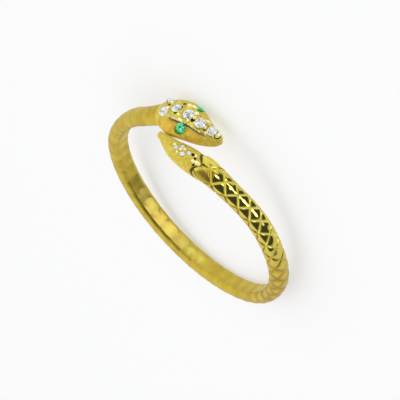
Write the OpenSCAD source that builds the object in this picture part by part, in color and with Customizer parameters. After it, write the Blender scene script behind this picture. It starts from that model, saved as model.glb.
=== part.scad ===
// A snake that winds once round the finger, its tail lying beside its head.
// The ring is one casting with round stones set in it. Millimetres, +Z up.
// It lies on its side on a table, as it would by itself, leaning on the head.
// Turns are angles round the finger from the back of the ring, positive towards the snout.

/* [Band] */
// Inside diameter, that of the finger
bore_d = 17.3; // [15:0.1:21]
// Thickness of the band from the finger to its crown
band_t = 1.31; // [1.1:0.01:1.8]
// Width of the band along the finger
band_w = 1.78; // [1.5:0.01:2.2]
// Squareness of the band's section, where 2 is an ellipse
band_square = 2.3; // [2:0.1:3]
// How deep the finger hollow cuts into the round section
inner_flat = 0.1; // [0.05:0.01:0.2]

/* [Scales] */
// Length of one scale along the middle of the band
scale_len = 1.365; // [1:0.005:2.2]
// Depth of the grooves between scales
groove = 0.07; // [0.03:0.01:0.12]
// How far a scale's middle swells above its edges
pillow = 0.03; // [0:0.01:0.08]
// Share of a scale's length that its raised top takes up
top_share = 0.74; // [0.5:0.01:0.85]
// How far the last scales stand out past the smooth tail
collar_lift = 0.28; // [0.1:0.01:0.3]
// How far the last scales reach along the tail
collar_reach = 0.4; // [0:0.05:0.7]

/* [Head] */
// Turn from the back of the ring to the snout, in degrees
snout_turn = 163; // [150:0.2:170]
// Length of the head and neck past the last scale
head_len = 8.3; // [7.5:0.1:9]
// Width across the jaws
head_w = 3.4; // [3.1:0.05:3.6]
// Height of the crown above the finger
head_h = 1.75; // [1.5:0.01:2.1]
// How far the head lies to the side of the band
head_shift = 1.7; // [1.6:0.01:2.2]

/* [Tail] */
// Turn from the back of the ring to the tail's tip, in degrees
tail_turn = 227; // [215:0.5:232]
// Length of the smooth tail past the scales
tail_len = 5.5; // [4.5:0.1:7]
// How far the tail lies to the other side of the band
tail_shift = 0.95; // [0.9:0.01:1.3]

/* [Stones] */
// Diameter of the largest crest stone
crest_d = 1.04; // [0.8:0.01:1.1]
// Diameter of an eye stone
eye_d = 0.96; // [0.7:0.01:1]
// Diameter of a tail stone
tail_stone_d = 0.44; // [0.36:0.01:0.5]
// Gap between a stone and its seat
seat_gap = 0.02; // [0.01:0.005:0.04]
// Wall of metal round a stone's seat
cup_wall = 0.07; // [0.04:0.01:0.1]
// Diameter of the beads that hold the stones
bead_d = 0.3; // [0.2:0.01:0.36]
// Diameter of the shiny bead on the snout
nose_bead_d = 0.44; // [0.3:0.01:0.5]

/* [Hidden] */

bore_r = bore_d / 2;
band_r = bore_r + band_t / 2;
deg_per_mm = 180 / (PI * band_r);

// Where the scales end: their first points lie at the tail, their last at the neck.
scales_from = -tail_turn + tail_len * deg_per_mm;
scales_to = snout_turn - head_len * deg_per_mm;
scale_count = round((scales_to - scales_from) / (scale_len * deg_per_mm));
pitch = (scales_to - scales_from) / scale_count;

// Angles round the section at which the corners of the scales lie: 0 is the crown,
// 90 the side and 180 the finger. Corners at half a pitch alternate with the others.
SIDE_HALF = 51;
SIDE_FULL = 97;
EDGE_HALF = 140;
EDGE_FULL = 158;

// The head and tail have a corner at each of these and at their mirror images.
SECTION = [0, 26, SIDE_HALF, 74, SIDE_FULL, 118, EDGE_HALF, 149, EDGE_FULL, 180];
LAST = len(SECTION) - 1;
RING_POINTS = 2 * LAST;

// The head's section from the crest to the finger, one row per corner:
// share of the half width, share of the height.
HEAD_SECTION = [
    [0.00, 1.00],
    [0.32, 0.975],
    [0.58, 0.88],
    [0.63, 0.78],
    [0.88, 0.63],
    [1.00, 0.42],
    [0.98, 0.20],
    [0.88, 0.03],
    [0.74, -0.06],
    [0.00, -0.06]
];

// Sections of the head from the neck to the snout: share of the head's length, share of
// its width, share of its height, and how far the section is a head's and not the band's.
HEAD = [
    [0.05, 0.53, 0.77, 0.00],
    [0.14, 0.57, 0.79, 0.10],
    [0.22, 0.70, 0.84, 0.50],
    [0.29, 0.83, 0.90, 0.90],
    [0.37, 0.93, 0.95, 1.00],
    [0.46, 0.99, 0.99, 1.00],
    [0.55, 1.00, 1.00, 1.00],
    [0.63, 0.94, 1.00, 1.00],
    [0.71, 0.83, 0.98, 1.00],
    [0.79, 0.69, 0.94, 1.00],
    [0.87, 0.53, 0.86, 1.00],
    [0.93, 0.40, 0.76, 0.90],
    [0.975, 0.28, 0.63, 0.75],
    [1.00, 0.16, 0.50, 0.60]
];

// Sections of the tail from the scales to the tip: share of the tail's length, share of
// the band's width, share of the band's thickness.
TAIL = [
    [0.10, 1.22, 0.92],
    [0.25, 1.17, 0.91],
    [0.37, 1.08, 0.89],
    [0.50, 0.93, 0.85],
    [0.62, 0.76, 0.79],
    [0.74, 0.59, 0.71],
    [0.85, 0.44, 0.61],
    [0.94, 0.30, 0.48],
    [1.00, 0.17, 0.32]
];

// Crest stones: share of the head's length, share of the half width to the side, share of
// the height, share of the largest diameter, lean to the side in degrees.
CREST = [
    [0.358, 0.34, 0.88, 0.85, 22],
    [0.347, -0.44, 0.86, 0.85, -28],
    [0.475, 0.00, 0.965, 0.86, 0],
    [0.625, -0.04, 0.985, 1.00, 0],
    [0.775, -0.03, 0.950, 0.96, 0],
    [0.898, 0.00, 0.830, 0.86, 0]
];

// Tail stones: share of the tail's length, share of the band's half width to the side,
// share of the band's thickness, lean to the side in degrees.
TAIL_STONES = [
    [0.48, 0.06, 0.82, 4],
    [0.42, -0.42, 0.78, -26],
    [0.34, 0.24, 0.86, 12],
    [0.28, -0.22, 0.87, -10]
];

// The two eyes: share of the head's length, share of the half width to the side, share of
// the height, lean to the side in degrees.
EYES = [
    [0.645, 0.69, 0.71, 48],
    [0.615, -0.76, 0.66, -56]
];

// Beads between the crest stones: share of the head's length, share of the half width,
// share of the height.
CREST_BEADS = [
    [0.400, 0.15, 0.96],
    [0.405, -0.20, 0.96],
    [0.555, 0.29, 0.96],
    [0.555, -0.31, 0.96],
    [0.600, -0.46, 0.91],
    [0.690, -0.31, 0.95],
    [0.705, 0.26, 0.95],
    [0.840, -0.26, 0.86],
    [0.845, 0.24, 0.86]
];

// The bead on the snout: share of the head's length, share of the height.
NOSE_BEAD = [0.965, 0.66];

// Size of a bead among the tail stones beside one on the crest.
TAIL_BEAD = 0.62;

// Beads among the tail stones: share of the tail's length, share of the band's half width,
// share of the band's thickness.
TAIL_BEADS = [
    [0.535, -0.12, 0.80],
    [0.400, -0.02, 0.89],
    [0.355, -0.24, 0.87],
    [0.225, 0.10, 0.91],
    [0.415, 0.36, 0.84]
];

// A stone's proportions as shares of its diameter.
TABLE = 0.56;
CROWN = 0.16;
GIRDLE = 0.04;
PAVILION = 0.42;
CROWN_MID = 0.40;
PAVILION_MID = 0.16;
FACETS = 8;

CURVE_FN = 64;

// From 0 to 1 as x goes from a to b, smooth at both ends.
function ease(x, a, b) =
    let (t = min(1, max(0, (x - a) / (b - a))))
    t * t * (3 - 2 * t);

function head_turn(share) = scales_to + share * (snout_turn - scales_to);
function tail_turn_at(share) = scales_from - share * (tail_turn + scales_from);

// How far the snake's middle line lies to the side of the band's at a turn.
DRIFT = [70, 118];
BEND = [112, 136];
DRIFT_SHARE = 0.35;
SNOUT_SWAY = [150, 166];
SNOUT_SHARE = 0.25;
TAIL_SWAY = [145, 212];
TIP_SWAY = [209, 230];
TIP_SHARE = 0.62;
function sway(turn) =
    turn > 0
    ? -head_shift * (DRIFT_SHARE * ease(turn, DRIFT[0], DRIFT[1])
        + (1 - DRIFT_SHARE) * ease(turn, BEND[0], BEND[1])
        + SNOUT_SHARE * ease(turn, SNOUT_SWAY[0], SNOUT_SWAY[1]))
    : tail_shift * (ease(-turn, TAIL_SWAY[0], TAIL_SWAY[1])
        - TIP_SHARE * ease(-turn, TIP_SWAY[0], TIP_SWAY[1]));

// How steeply that line crosses the finger, in degrees, measured over one degree of turn.
function slant(turn) = atan((sway(turn + 0.5) - sway(turn - 0.5)) * deg_per_mm);

// A point at a turn, a place across the snake and a height above the finger.
function at(turn, across, height) =
    let (seen = turn - across * sin(slant(turn)) * deg_per_mm)
    [
        (bore_r + height) * sin(seen),
        (bore_r + height) * cos(seen),
        sway(turn) + across * cos(slant(turn))
    ];

// The band's section at an angle round it: [across, height], grown by lift.
function power(x) = sign(x) * pow(abs(x), 2 / band_square);
function band_section(angle, w, t, lift) =
    let (deep = t + inner_flat)
    [
        (w / 2 + lift) * power(sin(angle)),
        (deep / 2 + lift) * power(cos(angle)) + deep / 2 - inner_flat
    ];

function on_band(turn, angle, lift) =
    let (p = band_section(angle, band_w, band_t, lift))
    at(turn, p[0], p[1]);

// One ring of corners of the head or the tail, from the crown round the +Z side.
function side(k) = k <= LAST ? 1 : -1;
function corner(k) = k <= LAST ? k : RING_POINTS - k;
function head_ring(row) =
    let (turn = head_turn(row[0]), w = row[1] * head_w, t = row[2] * head_h, h = row[3])
    [for (k = [0:RING_POINTS - 1])
        let (
            c = corner(k),
            b = band_section(SECTION[c], w, t, 0),
            q = [HEAD_SECTION[c][0] * w / 2, HEAD_SECTION[c][1] * t],
            p = b * (1 - h) + q * h
        )
        at(turn, side(k) * p[0], p[1])
    ];
function tail_ring(row) =
    [for (k = [0:RING_POINTS - 1])
        let (p = band_section(SECTION[corner(k)], row[1] * band_w, row[2] * band_t, 0))
        at(tail_turn_at(row[0]), side(k) * p[0], p[1])
    ];

// Corners of the scales. Half corners lie at turn H(i), full ones at F(i) between them.
function half_turn(i) = scales_from + i * pitch;
function full_turn(i) = scales_from + (i + 0.5) * pitch;
COLLAR_SCALES = 2.6;
function flare(turn) = collar_lift * (1 - ease(turn, scales_from, scales_from + COLLAR_SCALES * pitch));
function reach(i) = i == 0 ? -collar_reach * deg_per_mm : 0;
HALF_ANGLES = [SIDE_HALF, -SIDE_HALF, EDGE_HALF, -EDGE_HALF];
FULL_ANGLES = [0, SIDE_FULL, -SIDE_FULL, EDGE_FULL, -EDGE_FULL];
function half_corners(i) =
    [for (a = HALF_ANGLES)
        on_band(half_turn(i) + (abs(a) == SIDE_HALF ? reach(i) : 0), a, -groove)
    ];
function full_corners(i) = [for (a = FULL_ANGLES) on_band(full_turn(i), a, -groove)];

// A scale: its four corners in the band's own [turn, angle], and their numbers in the list.
function scale_at(kind, i) =
    let (h = half_turn(i), f = full_turn(i), g = full_turn(i - 1), n = half_turn(i + 1))
    kind == 0 ? [[g, 0], [h, SIDE_HALF], [f, 0], [h, -SIDE_HALF]]
    : kind == 1 ? [[h + reach(i), SIDE_HALF], [f, SIDE_FULL], [n, SIDE_HALF], [f, 0]]
    : kind == 2 ? [[h + reach(i), -SIDE_HALF], [f, 0], [n, -SIDE_HALF], [f, -SIDE_FULL]]
    : kind == 3 ? [[g, SIDE_FULL], [h, EDGE_HALF], [f, SIDE_FULL], [h, SIDE_HALF]]
    : [[g, -SIDE_FULL], [h, -SIDE_HALF], [f, -SIDE_FULL], [h, -EDGE_HALF]];
function scale_corners(kind, i) =
    kind == 0 ? [full_id(i - 1, 0), half_id(i, 0), full_id(i, 0), half_id(i, 1)]
    : kind == 1 ? [half_id(i, 0), full_id(i, 1), half_id(i + 1, 0), full_id(i, 0)]
    : kind == 2 ? [half_id(i, 1), full_id(i, 0), half_id(i + 1, 1), full_id(i, 2)]
    : kind == 3 ? [full_id(i - 1, 1), half_id(i, 2), full_id(i, 1), half_id(i, 0)]
    : [full_id(i - 1, 2), half_id(i, 1), full_id(i, 2), half_id(i, 3)];

// Scales of kinds 1 and 2 start at the tail; the others fit between them.
SCALES = [
    for (i = [0:scale_count - 1])
    for (kind = [0:4])
    if (i > 0 || kind == 1 || kind == 2)
    [kind, i]
];
function scale_top(s) =
    let (
        c = scale_at(s[0], s[1]),
        mid = (c[0] + c[1] + c[2] + c[3]) / 4,
        rise = flare(mid[0])
    )
    concat(
        [for (k = [0:7])
            let (
                p = k % 2 == 0 ? c[k / 2] : (c[(k - 1) / 2] + c[(k + 1) / 2 % 4]) / 2,
                q = mid + top_share * (p - mid)
            )
            on_band(q[0], q[1], rise)],
        [on_band(mid[0], mid[1], rise + pillow)]
    );

// The list of points: half corners, full corners, scale tops, then the tail's rings with
// its tip, and the head's rings with the snout.
half_list = [for (i = [0:scale_count]) each half_corners(i)];
full_list = [for (i = [0:scale_count - 1]) each full_corners(i)];
top_list = [for (s = SCALES) each scale_top(s)];
function half_id(i, k) = i * len(HALF_ANGLES) + k;
full_0 = len(half_list);
function full_id(i, k) = full_0 + i * len(FULL_ANGLES) + k;
top_0 = full_0 + len(full_list);
tail_0 = top_0 + len(top_list);
head_0 = tail_0 + RING_POINTS * len(TAIL) + 1;

// Heights of the two tips, as shares of the band's thickness and of the head's height.
TAIL_TIP = 0.16;
SNOUT_TIP = 0.25;
// How far the snout bulges past the head's last section, as a share of the head's length.
SNOUT_BULGE = 0.02;
tail_tip = at(-tail_turn, 0, TAIL_TIP * band_t);
snout_tip = at(head_turn(1 + SNOUT_BULGE), 0, SNOUT_TIP * head_h);
tail_list = concat([for (row = TAIL) each tail_ring(row)], [tail_tip]);
head_list = concat([for (row = HEAD) each head_ring(row)], [snout_tip]);
snake_points = concat(half_list, full_list, top_list, tail_list, head_list);

// The nine corners where the scales end, from the crown round the +Z side.
function end_corners(h, f) = [
    full_id(f, 0), half_id(h, 0), full_id(f, 1), half_id(h, 2), full_id(f, 3),
    full_id(f, 4), half_id(h, 3), full_id(f, 2), half_id(h, 1)
];
function ring_ids(first) = [for (k = [0:RING_POINTS - 1]) first + k];
function flip(faces) = [for (f = faces) [for (k = [len(f) - 1:-1:0]) f[k]]];

// Faces between nine corners and a ring of eighteen, and between two rings.
function stitch(nine, ring) =
    let (n = len(nine), m = len(ring))
    [for (k = [0:n - 1]) each [
        [nine[k], ring[2 * k + 1], ring[2 * k]],
        [nine[k], nine[(k + 1) % n], ring[2 * k + 1]],
        [nine[(k + 1) % n], ring[(2 * k + 2) % m], ring[2 * k + 1]]
    ]];
function tube(a, b) =
    let (n = len(a))
    [for (k = [0:n - 1]) let (j = (k + 1) % n) each [[a[k], a[j], b[j]], [a[k], b[j], b[k]]]];
function cap(ring, tip) =
    let (n = len(ring))
    [for (k = [0:n - 1]) [ring[k], ring[(k + 1) % n], tip]];

function scale_faces(n) =
    let (c = scale_corners(SCALES[n][0], SCALES[n][1]), t = top_0 + 9 * n, centre = t + 8)
    [for (k = [0:3])
        let (j = (k + 1) % 4, a = t + 2 * k, b = t + 2 * k + 1, d = t + (2 * k + 2) % 8)
        each [
            [c[k], b, a],
            [c[k], c[j], b],
            [c[j], d, b],
            [a, b, centre],
            [b, d, centre]
        ]
    ];

// The finger side: a kite below each side corner and a strip between the edges.
function kite(a, b, c, d) = [[a, b, c], [a, c, d]];
finger_faces = concat(
    [for (i = [0:scale_count - 1]) each kite(
        half_id(i, 2), full_id(i, 3), half_id(i + 1, 2), full_id(i, 1))],
    [for (i = [0:scale_count - 1]) each kite(
        half_id(i, 3), full_id(i, 2), half_id(i + 1, 3), full_id(i, 4))],
    [for (i = [1:scale_count - 1]) each [
        [half_id(i, 2), full_id(i - 1, 3), full_id(i, 3)],
        [half_id(i, 3), full_id(i, 4), full_id(i - 1, 4)],
        [full_id(i - 1, 3), full_id(i - 1, 4), full_id(i, 4)],
        [full_id(i - 1, 3), full_id(i, 4), full_id(i, 3)]
    ]]
);

function ring_of_head(n) = ring_ids(head_0 + n * RING_POINTS);
function ring_of_tail(n) = ring_ids(tail_0 + n * RING_POINTS);
head_faces = concat(
    stitch(end_corners(scale_count, scale_count - 1), ring_of_head(0)),
    [for (n = [0:len(HEAD) - 2]) each tube(ring_of_head(n), ring_of_head(n + 1))],
    cap(ring_of_head(len(HEAD) - 1), head_0 + len(head_list) - 1)
);
tail_faces = concat(
    stitch(end_corners(0, 0), ring_of_tail(0)),
    [for (n = [0:len(TAIL) - 2]) each tube(ring_of_tail(n), ring_of_tail(n + 1))],
    cap(ring_of_tail(len(TAIL) - 1), head_0 - 1)
);
snake_faces = concat(
    flip([for (n = [0:len(SCALES) - 1]) each scale_faces(n)]),
    flip(finger_faces),
    flip(head_faces),
    tail_faces
);

// Lying on its side the ring leans until the head and the band's far side touch the table.
LEAN_TO = 139;
SETTLE_STEPS = 5;
function leaned(p, lean) =
    let (away = p[0] * sin(LEAN_TO) + p[1] * cos(LEAN_TO))
    p[2] * cos(lean) + away * sin(lean);
function lowest(points, lean, near) =
    min([for (p = points)
        if ((p[0] * sin(LEAN_TO) + p[1] * cos(LEAN_TO)) * near > 0) leaned(p, lean)]);
function settle(lean, steps) =
    steps == 0 ? lean
    : let (gap = lowest(snake_points, lean, -1) - lowest(snake_points, lean, 1))
      settle(lean + gap / (2 * band_r) * 180 / PI, steps - 1);
lean = settle(0, SETTLE_STEPS);
lift = -lowest(snake_points, lean, 1);

module lie() {
    translate([0, 0, lift])
        rotate([0, 0, -LEAN_TO])
        rotate([lean, 0, 0])
        rotate([0, 0, LEAN_TO])
        children();
}

// Puts a thing at a place on the snake, its own +Z pointing out and leaning to the side.
module stand(turn, across, height, side_lean) {
    seen = turn - across * sin(slant(turn)) * deg_per_mm;
    rotate([0, 0, 90 - seen])
        translate([bore_r + height, 0, sway(turn) + across * cos(slant(turn))])
        rotate([0, 90 - side_lean, 0])
        children();
}

// Where the stones stand, and their sizes.
module at_crest(n) {
    row = CREST[n];
    stand(head_turn(row[0]), row[1] * head_w / 2, row[2] * head_h, row[4])
        children();
}
function crest_size(n) = CREST[n][3] * crest_d;

module at_eye(n) {
    row = EYES[n];
    stand(head_turn(row[0]), row[1] * head_w / 2, row[2] * head_h, row[3])
        children();
}

module at_tail_stone(n) {
    row = TAIL_STONES[n];
    stand(tail_turn_at(row[0]), row[1] * band_w / 2, row[2] * band_t, row[3])
        children();
}

// A round brilliant. The top of its girdle lies at z = 0.
function around(r, z, n, from) =
    [for (k = [0:n - 1]) [r * cos(from + k * 360 / n), r * sin(from + k * 360 / n), z]];
function crown_z(d, x) = CROWN * d * (d / 2 - x) / (d / 2 - TABLE * d / 2);
function pavilion_z(d, x) = -GIRDLE * d - PAVILION * d * (1 - x / (d / 2));
module brilliant(d) {
    half = 180 / FACETS;
    mid_r = CROWN_MID * d;
    low_r = PAVILION_MID * d;
    points = concat(
        around(TABLE * d / 2, CROWN * d, FACETS, 0),
        around(mid_r, crown_z(d, mid_r * cos(half)), FACETS, half),
        around(d / 2, 0, 2 * FACETS, 0),
        around(d / 2, -GIRDLE * d, 2 * FACETS, 0),
        around(low_r, pavilion_z(d, low_r * cos(half)), FACETS, half),
        [[0, 0, -(GIRDLE + PAVILION) * d]]
    );
    mid = FACETS;
    top = 2 * FACETS;
    under = 4 * FACETS;
    low = 6 * FACETS;
    culet = 7 * FACETS;
    faces = concat(
        [[for (k = [FACETS - 1:-1:0]) k]],
        [for (k = [0:FACETS - 1])
            let (j = (k + 1) % FACETS, i = (k + FACETS - 1) % FACETS,
                g = 2 * k, h = 2 * k + 1, n = (2 * k + 2) % (2 * FACETS))
            each [
                [k, j, mid + k],
                [k, mid + k, top + g, mid + i],
                [mid + k, top + h, top + g],
                [mid + k, top + n, top + h],
                [top + g, top + h, under + h, under + g],
                [top + h, top + n, under + n, under + h],
                [low + k, under + g, under + h],
                [low + k, under + h, under + n],
                [culet, low + i, under + g, low + k]
            ]
        ]
    );
    polyhedron(points, faces);
}

// The room that a stone needs, open above its crown between the beads.
module seat(d) {
    r = d / 2 + seat_gap;
    deep = (GIRDLE + PAVILION) * d + 2 * seat_gap;
    rotate_extrude($fn = CURVE_FN)
        polygon([
            [0, -deep],
            [r, -GIRDLE * d - seat_gap / 2],
            [r, seat_gap / 2],
            [TABLE * d / 2 + seat_gap, CROWN * d + seat_gap],
            [TABLE * d / 2 + seat_gap, d],
            [0, d]
        ]);
}

// Metal round a stone's lower half, up to its girdle.
module cup(d) {
    translate([0, 0, -(GIRDLE + PAVILION) * d])
        cylinder(h = PAVILION * d, r = d / 2 + cup_wall, $fn = CURVE_FN);
}

module bead(d) {
    sphere(d = d, $fn = CURVE_FN / 2);
}

module snake_body() {
    polyhedron(snake_points, snake_faces, convexity = 8);
}

module crest_beads() {
    for (row = CREST_BEADS)
        stand(head_turn(row[0]), row[1] * head_w / 2, row[2] * head_h, 0)
            bead(bead_d);
    stand(head_turn(NOSE_BEAD[0]), 0, NOSE_BEAD[1] * head_h, 0)
        bead(nose_bead_d);
}

module tail_beads() {
    for (row = TAIL_BEADS)
        stand(tail_turn_at(row[0]), row[1] * band_w / 2, row[2] * band_t, 0)
            bead(TAIL_BEAD * bead_d);
}

module cups() {
    for (n = [0:len(CREST) - 1])
        at_crest(n) cup(crest_size(n));
    for (n = [0:len(EYES) - 1])
        at_eye(n) cup(eye_d);
    for (n = [0:len(TAIL_STONES) - 1])
        at_tail_stone(n) cup(tail_stone_d);
}

// What the finger takes out: the band's own wall, and beside it a hair more.
HAIR = 0.03;
module finger() {
    cylinder(h = band_w, r = bore_r, center = true, $fn = 4 * CURVE_FN);
    for (way = [-1, 1])
        translate([0, 0, way * (band_w / 2 + head_w)])
            cylinder(h = 2 * head_w, r = bore_r + HAIR, center = true, $fn = 4 * CURVE_FN);
}

module snake_ring() {
    color("gold")
        lie()
        difference() {
            union() {
                snake_body();
                cups();
                crest_beads();
                tail_beads();
            }
            finger();
            for (n = [0:len(CREST) - 1])
                at_crest(n) seat(crest_size(n));
            for (n = [0:len(EYES) - 1])
                at_eye(n) seat(eye_d);
            for (n = [0:len(TAIL_STONES) - 1])
                at_tail_stone(n) seat(tail_stone_d);
        }
}

module crest_stone(n) {
    color("white")
        lie()
        at_crest(n)
        brilliant(crest_size(n));
}

module eye_stone(n) {
    color("green")
        lie()
        at_eye(n)
        brilliant(eye_d);
}

module tail_stone(n) {
    color("white")
        lie()
        at_tail_stone(n)
        brilliant(tail_stone_d);
}

snake_ring();
for (n = [0:len(CREST) - 1])
    crest_stone(n);
eye_stone(0);  // eye_stone_left
eye_stone(1);  // eye_stone_right
for (n = [0:len(TAIL_STONES) - 1])
    tail_stone(n);
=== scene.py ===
# %% [markdown]
# # A snake ring in gold
# The ring is one gold casting: a snake that winds once round the finger and lays its tail beside
# its head. Round clear stones stand on its crest and tail, and its eyes are green stones. The CAD
# model fixes every size, so this script dresses it: it builds a finer snake in the same place,
# cuts the scales, and gives gold and stones their finishes.

# %% Load the frame
import math

import bmesh
import bpy
import numpy as np
from mathutils import Matrix, Vector
from mathutils.bvhtree import BVHTree


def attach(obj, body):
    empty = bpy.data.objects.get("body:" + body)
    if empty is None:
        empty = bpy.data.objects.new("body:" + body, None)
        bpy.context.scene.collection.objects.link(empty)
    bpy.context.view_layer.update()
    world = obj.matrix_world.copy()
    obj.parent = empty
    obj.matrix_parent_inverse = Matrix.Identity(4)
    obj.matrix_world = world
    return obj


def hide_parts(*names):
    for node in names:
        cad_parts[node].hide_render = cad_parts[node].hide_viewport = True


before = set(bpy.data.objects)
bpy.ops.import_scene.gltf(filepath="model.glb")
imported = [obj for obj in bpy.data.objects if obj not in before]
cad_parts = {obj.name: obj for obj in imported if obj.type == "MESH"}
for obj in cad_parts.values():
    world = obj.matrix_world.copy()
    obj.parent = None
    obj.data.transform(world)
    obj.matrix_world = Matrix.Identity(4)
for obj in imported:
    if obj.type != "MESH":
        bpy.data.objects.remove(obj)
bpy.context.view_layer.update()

# %% [markdown]
# ## The snake's line
# Every part of the snake is placed by three numbers: a turn round the finger in degrees, a way
# across the body and a height above the finger, in millimetres. The body's middle line sways to
# one side towards the head and to the other towards the tail. Working in these numbers keeps the
# modelling flat and simple, and one function bends it all round the finger at the end.

# %% Sizes of the band
BORE_R = 8.65
BAND_T = 1.31
BAND_W = 1.78
BAND_SQUARE = 2.3  # 2 would be an ellipse, more is squarer
INNER_FLAT = 0.1  # the finger cuts this much off the section
HAIR = 0.03  # head and tail stay this far off the finger
BAND_R = BORE_R + BAND_T / 2
DEG_PER_MM = 180 / (math.pi * BAND_R)

HEAD_SHIFT = 1.7
TAIL_SHIFT = 0.95
SNOUT_TURN = 163
HEAD_LEN = 8.3
HEAD_W = 3.4
HEAD_H = 1.75
TAIL_TURN = 227
TAIL_LEN = 5.5
SCALES_FROM = -TAIL_TURN + TAIL_LEN * DEG_PER_MM
SCALES_TO = SNOUT_TURN - HEAD_LEN * DEG_PER_MM
SCALE_COUNT = 36
PITCH = (SCALES_TO - SCALES_FROM) / SCALE_COUNT
print(f"scales from {SCALES_FROM:.1f} to {SCALES_TO:.1f} degrees, one every {PITCH / DEG_PER_MM:.3f} mm")


# %% From turn, across and height to the ring
# Each bend has its part of the shift, and the turns where it starts and ends.
HEAD_BENDS = [(0.35, 70, 118), (0.65, 112, 136), (0.25, 150, 166)]
TAIL_BENDS = [(1, 145, 212), (-0.62, 209, 230)]


def ease(x, a, b):
    """A soft step from 0 at a to 1 at b."""
    t = np.clip((x - a) / (b - a), 0, 1)
    return t * t * (3 - 2 * t)


def bend(turn, bends):
    return sum(part * ease(turn, start, end) for part, start, end in bends)


def sway(turn):
    """How far the snake's middle line lies to one side."""
    return np.where(turn > 0, -HEAD_SHIFT * bend(turn, HEAD_BENDS), TAIL_SHIFT * bend(-turn, TAIL_BENDS))


def on_ring(turn, across, height):
    slant = np.arctan((sway(turn + 0.5) - sway(turn - 0.5)) * DEG_PER_MM)
    seen = np.radians(turn - across * np.sin(slant) * DEG_PER_MM)
    r = BORE_R + height
    return np.stack([r * np.sin(seen), r * np.cos(seen), sway(turn) + across * np.cos(slant)], -1)


print("middle line at snout and tail:", [round(float(sway(turn)), 2) for turn in (SNOUT_TURN, -TAIL_TURN)], "mm")

# %% [markdown]
# The ring lies on its side, as it would by itself, so it leans a little on the snake's head. The
# same turn and lift carry the stones in the CAD model, so the new body meets them.

# %% The lie of the ring
LEAN = math.radians(7.69146)
LEAN_TO = math.radians(139)
LIFT = 2.13135
LIE = Matrix.Rotation(-LEAN_TO, 3, "Z") @ Matrix.Rotation(LEAN, 3, "X") @ Matrix.Rotation(LEAN_TO, 3, "Z")


def lie(points):
    return (points @ np.array(LIE).T + [0, 0, LIFT]) / 1000


print("ring axis in the frame:", [round(x, 3) for x in LIE @ Vector((0, 0, 1))])

# %% [markdown]
# ## The camera
# A ring is photographed with a long lens from some way off, because a short one close by would make
# its near side swell. The camera looks down on the ring from its open side, where head and tail lie
# beside each other, and the picture is turned, so the ring seems to stand on its lower edge.

# %% Camera
SEEN_FROM = math.radians(20.3)
ROLL = math.radians(132.3)
DISTANCE = 300
FRAME_WIDTH = 33.12
RIGHT_OF_RING, ABOVE_RING = 0.19, 0.66

up = Vector((0, math.sin(SEEN_FROM), math.cos(SEEN_FROM)))
look = Vector((0, math.cos(SEEN_FROM), -math.sin(SEEN_FROM)))
picture_right = math.cos(ROLL) * Vector((1, 0, 0)) - math.sin(ROLL) * up
picture_up = math.sin(ROLL) * Vector((1, 0, 0)) + math.cos(ROLL) * up
target = RIGHT_OF_RING * picture_right + ABOVE_RING * picture_up
right_w, up_w, back_w = LIE @ picture_right, LIE @ picture_up, LIE @ -look

camera = bpy.data.objects.new("camera", bpy.data.cameras.new("camera"))
bpy.context.scene.collection.objects.link(camera)
camera.data.lens = camera.data.sensor_width * DISTANCE / FRAME_WIDTH
camera.data.clip_start, camera.data.clip_end = 0.01, 10
place = (LIE @ (target - DISTANCE * look) + Vector((0, 0, LIFT))) / 1000
camera.matrix_world = Matrix.Translation(place) @ Matrix((right_w, up_w, back_w)).transposed().to_4x4()
bpy.context.scene.camera = camera
print(f"lens {camera.data.lens:.0f} mm, camera {math.degrees(math.asin(back_w.z)):.1f} degrees above the floor")

# %% [markdown]
# ## Light
# Polished gold shows nothing but what is round it. A jeweller's photo is taken in a pale tent with
# dark cards in it. Such cards could be modelled, but other views would see them, and they would
# throw shadows, so here the tent is the world's own colour, worked out from the direction alone.
# Scales that mirror its two dark parts turn deep olive, and the others stay pale gold. A white strip
# gives the long streak along the crown of the near side.


# %% Directions, in degrees to the right of the camera and above it
def direction(to_right, to_up):
    angle = math.radians(math.hypot(to_right, to_up))
    turn = math.atan2(to_up, to_right)
    aside = math.cos(turn) * right_w + math.sin(turn) * up_w
    return (math.cos(angle) * back_w + math.sin(angle) * aside).normalized()


# A round part has its middle, radius and soft edge. The streak has the two directions that it runs
# through, its half width, soft edge and half length.
DARK_WALL = direction(22, -12), 56, 9
DARK_CORNER = direction(78, 22), 17, 6
TOP = Vector((0, 0, 1)), 10, 60
STREAK = direction(20, 33), direction(58, -8), 6, 3, 28
print("the dark wall is", [round(x, 2) for x in DARK_WALL[0]], "from the ring")

# %% Helpers for nodes, in the tent and in the materials
def node(tree, kind, **settings):
    made = tree.nodes.new("ShaderNode" + kind)
    for key, value in settings.items():
        setattr(made, key, value)
    return made


def feed(made, inputs):
    """Link a node's inputs to other nodes' outputs, or give them numbers and colours."""
    for name, value in inputs.items():
        if isinstance(value, bpy.types.NodeSocket):
            made.id_data.links.new(value, made.inputs[name])
        else:
            made.inputs[name].default_value = value


def ranged(tree, value, low=0, high=1, a=0, b=1, kind="LINEAR"):
    """The value, spread to go from a at low to b at high, and no further."""
    spread = node(tree, "MapRange", interpolation_type=kind)
    feed(spread, {"Value": value, "From Min": low, "From Max": high, "To Min": a, "To Max": b})
    return spread.outputs["Result"]


def combined(tree, operation, *values, kind="Math"):
    both = node(tree, kind, operation=operation)
    feed(both, dict(enumerate(values)))
    return both.outputs["Value"]


def colour_mix(tree, share, *colours):
    mix = node(tree, "Mix", data_type="RGBA")
    a, b = (c if isinstance(c, bpy.types.NodeSocket) else (*c, 1) for c in colours)
    feed(mix, {0: share, 6: a, 7: b})
    return mix.outputs[2]


# %% Round parts and strips of the tent
world = bpy.data.worlds.new("pale_tent")
bpy.context.scene.world = world
world.use_nodes = True
tent = world.node_tree
tent.nodes.clear()
sky = node(tent, "TexCoord").outputs["Generated"]


def near_to(value, inner, outer):
    return ranged(tent, value, outer, inner, kind="SMOOTHSTEP")


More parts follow.
